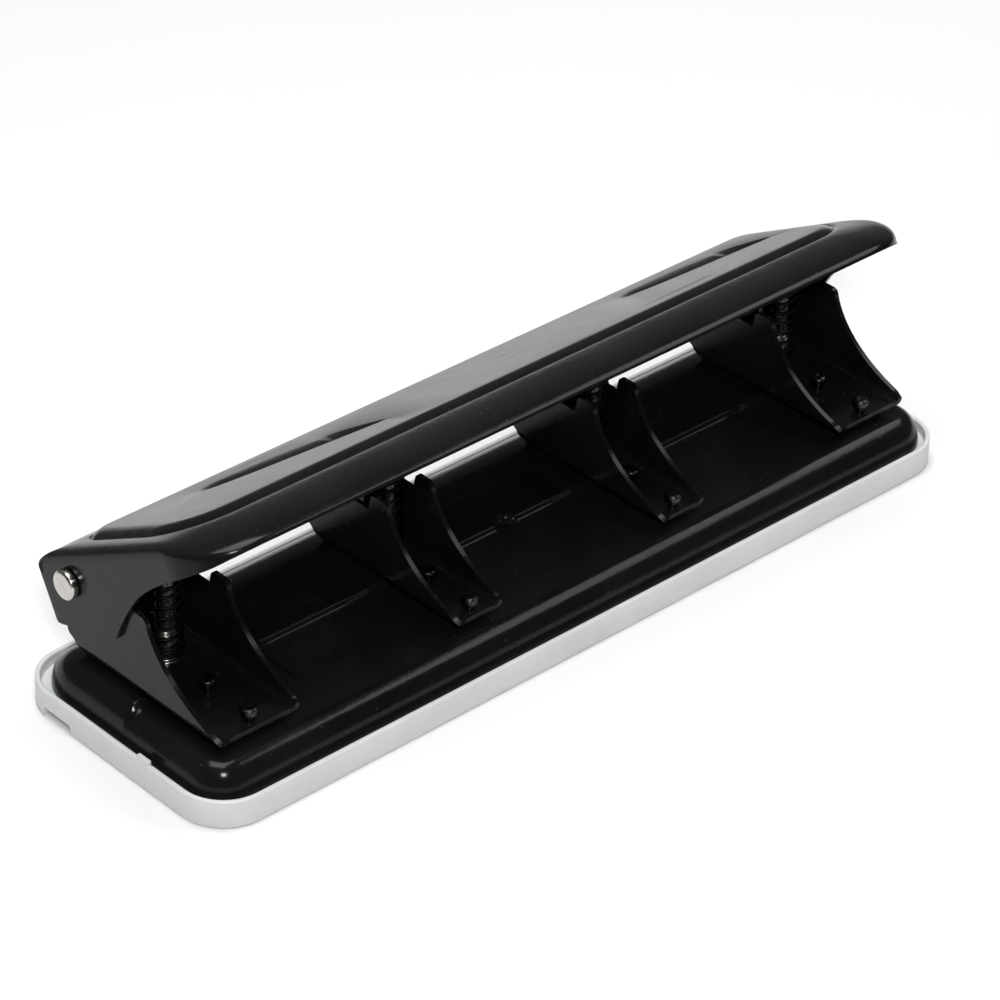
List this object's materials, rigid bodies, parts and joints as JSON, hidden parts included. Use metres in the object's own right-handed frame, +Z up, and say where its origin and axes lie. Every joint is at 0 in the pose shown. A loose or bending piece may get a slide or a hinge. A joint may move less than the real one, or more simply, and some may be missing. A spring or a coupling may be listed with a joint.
{
  "type": "hole punch",
  "caption": "Long lever-operated paper punch in black sheet steel on a white chip tray, with punches in U-shaped stands and a hood-shaped lever.",
  "frame": {"origin": "middle of the underside, on the surface that the punch stands on", "axes": "+X along the length, from the rod's head to its cap; -Y towards the open front where the paper goes in; +Z up"},
  "size_m": [0.2892, 0.089, 0.0819],
  "materials": {
    "black_paint": "gloss black stoving enamel",
    "white_plastic": "satin moulded",
    "zinc_steel": "bright zinc plate",
    "blackened_steel": "oiled black oxide",
    "hard_steel": "ground",
    "spring_steel": "drawn wire",
    "chrome_steel": "bright nickel"
  },
  "bodies": {
    "tray": {"chip_tray": "white_plastic"},
    "frame": {"base_plate": "black_paint", "stand_1": "black_paint", "stop_block_1": "blackened_steel", "guide_bush_1": "zinc_steel", "rear_rivet_1a": "blackened_steel", "rear_rivet_1b": "blackened_steel", "floor_stud_1a": "blackened_steel", "floor_stud_1b": "blackened_steel", "stand_2": "black_paint", "stop_block_2": "blackened_steel", "guide_bush_2": "zinc_steel", "rear_rivet_2a": "blackened_steel", "rear_rivet_2b": "blackened_steel", "floor_stud_2a": "blackened_steel", "floor_stud_2b": "blackened_steel", "stand_3": "black_paint", "stop_block_3": "blackened_steel", "guide_bush_3": "zinc_steel", "rear_rivet_3a": "blackened_steel", "rear_rivet_3b": "blackened_steel", "floor_stud_3a": "blackened_steel", "floor_stud_3b": "blackened_steel", "stand_4": "black_paint", "stop_block_4": "blackened_steel", "guide_bush_4": "zinc_steel", "rear_rivet_4a": "blackened_steel", "rear_rivet_4b": "blackened_steel", "floor_stud_4a": "blackened_steel", "floor_stud_4b": "blackened_steel", "hinge_rod": "chrome_steel", "rod_cap": "chrome_steel"},
    "lever": {"lever": "black_paint", "press_bar": "zinc_steel"},
    "punch_1": {"punch_1": "hard_steel", "punch_spring_1": "spring_steel"},
    "punch_2": {"punch_2": "hard_steel", "punch_spring_2": "spring_steel"},
    "punch_3": {"punch_3": "hard_steel", "punch_spring_3": "spring_steel"},
    "punch_4": {"punch_4": "hard_steel", "punch_spring_4": "spring_steel"}
  },
  "joints": [
    {"name": "tray_release", "type": "slide", "parent": "tray", "child": "frame", "axis": [0, 0, 1], "range_m": [0, 0.03]},
    {"name": "lever_hinge", "type": "hinge", "parent": "frame", "child": "lever", "pos_m": [0, 0.0275, 0.0427], "axis": [1, 0, 0], "range_deg": [0, 25], "stiffness_Nm_per_rad": 1.2, "springref_deg": -20.05},
    {"name": "punch_slide_1", "type": "slide", "parent": "frame", "child": "punch_1", "axis": [0, 0, -1], "range_m": [0, 0.0087], "deforming": ["punch_spring_1"]},
    {"name": "punch_slide_2", "type": "slide", "parent": "frame", "child": "punch_2", "axis": [0, 0, -1], "range_m": [0, 0.0087], "deforming": ["punch_spring_2"]},
    {"name": "punch_slide_3", "type": "slide", "parent": "frame", "child": "punch_3", "axis": [0, 0, -1], "range_m": [0, 0.0087], "deforming": ["punch_spring_3"]},
    {"name": "punch_slide_4", "type": "slide", "parent": "frame", "child": "punch_4", "axis": [0, 0, -1], "range_m": [0, 0.0087], "deforming": ["punch_spring_4"]}
  ],
  "couplings": [
    {"joint": "punch_slide_1", "follows": "lever_hinge", "m_per_rad": 0.01954},
    {"joint": "punch_slide_2", "follows": "lever_hinge", "m_per_rad": 0.01954},
    {"joint": "punch_slide_3", "follows": "lever_hinge", "m_per_rad": 0.01954},
    {"joint": "punch_slide_4", "follows": "lever_hinge", "m_per_rad": 0.01954}
  ]
}
